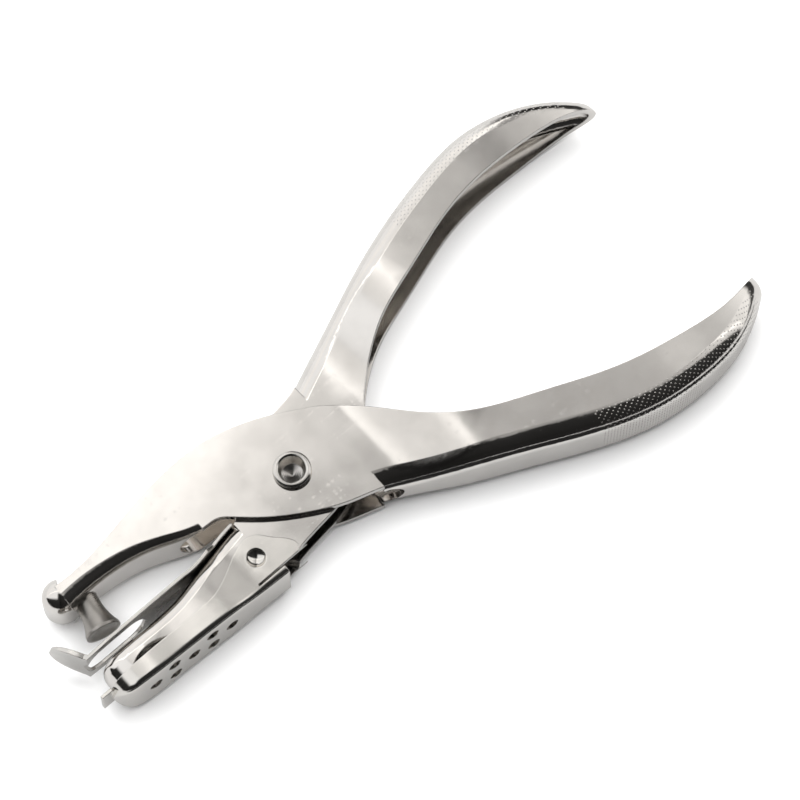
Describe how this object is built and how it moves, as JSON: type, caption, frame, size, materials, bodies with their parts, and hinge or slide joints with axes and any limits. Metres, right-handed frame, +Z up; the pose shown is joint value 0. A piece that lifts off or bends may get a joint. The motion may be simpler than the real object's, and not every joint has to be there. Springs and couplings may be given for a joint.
{
  "type": "single-hole hand punch",
  "caption": "Plier-type hand punch for paper in plated pressed steel, with a waisted punch, a slotted stripper strip and a clip-on chip catcher.",
  "frame": {"origin": "centre of the pivot rivet's flat head, on the plane that the tool's side rests on", "axes": "+X from the jaws to the handles along the die jaw, +Y from the die jaw to the punch jaw, +Z up along the pivot"},
  "size_m": [0.1321, 0.06, 0.0131],
  "materials": {
    "plated_steel": "polished nickel plate",
    "plated_sheet": "polished nickel plate, thin sheet",
    "rivet_steel": "polished nickel plate",
    "tool_steel": "turned and hardened",
    "spring_steel": "drawn wire",
    "spring_steel_strip": "bright rolled strip"
  },
  "bodies": {
    "die_side": {"die_lever": "plated_steel", "pivot_rivet": "rivet_steel", "return_spring": "spring_steel", "stripper_strip": "spring_steel_strip", "strip_rivet": "rivet_steel"},
    "punch_side": {"punch_lever": "plated_steel", "punch_pin": "tool_steel"},
    "catcher": {"chip_catcher": "plated_sheet"}
  },
  "joints": [
    {"name": "lever_hinge", "type": "hinge", "parent": "die_side", "child": "punch_side", "pos_m": [0, 0, 0.00653], "axis": [0, 0, 1], "range_deg": [0, 8.8], "stiffness_Nm_per_rad": 0.8, "springref_deg": -20.05, "deforming": ["return_spring"]},
    {"name": "catcher_hinge", "type": "hinge", "parent": "die_side", "child": "catcher", "pos_m": [-0.0142, -0.0072, 0.00653], "axis": [0, 0, 1], "range_deg": [0, 30]}
  ]
}
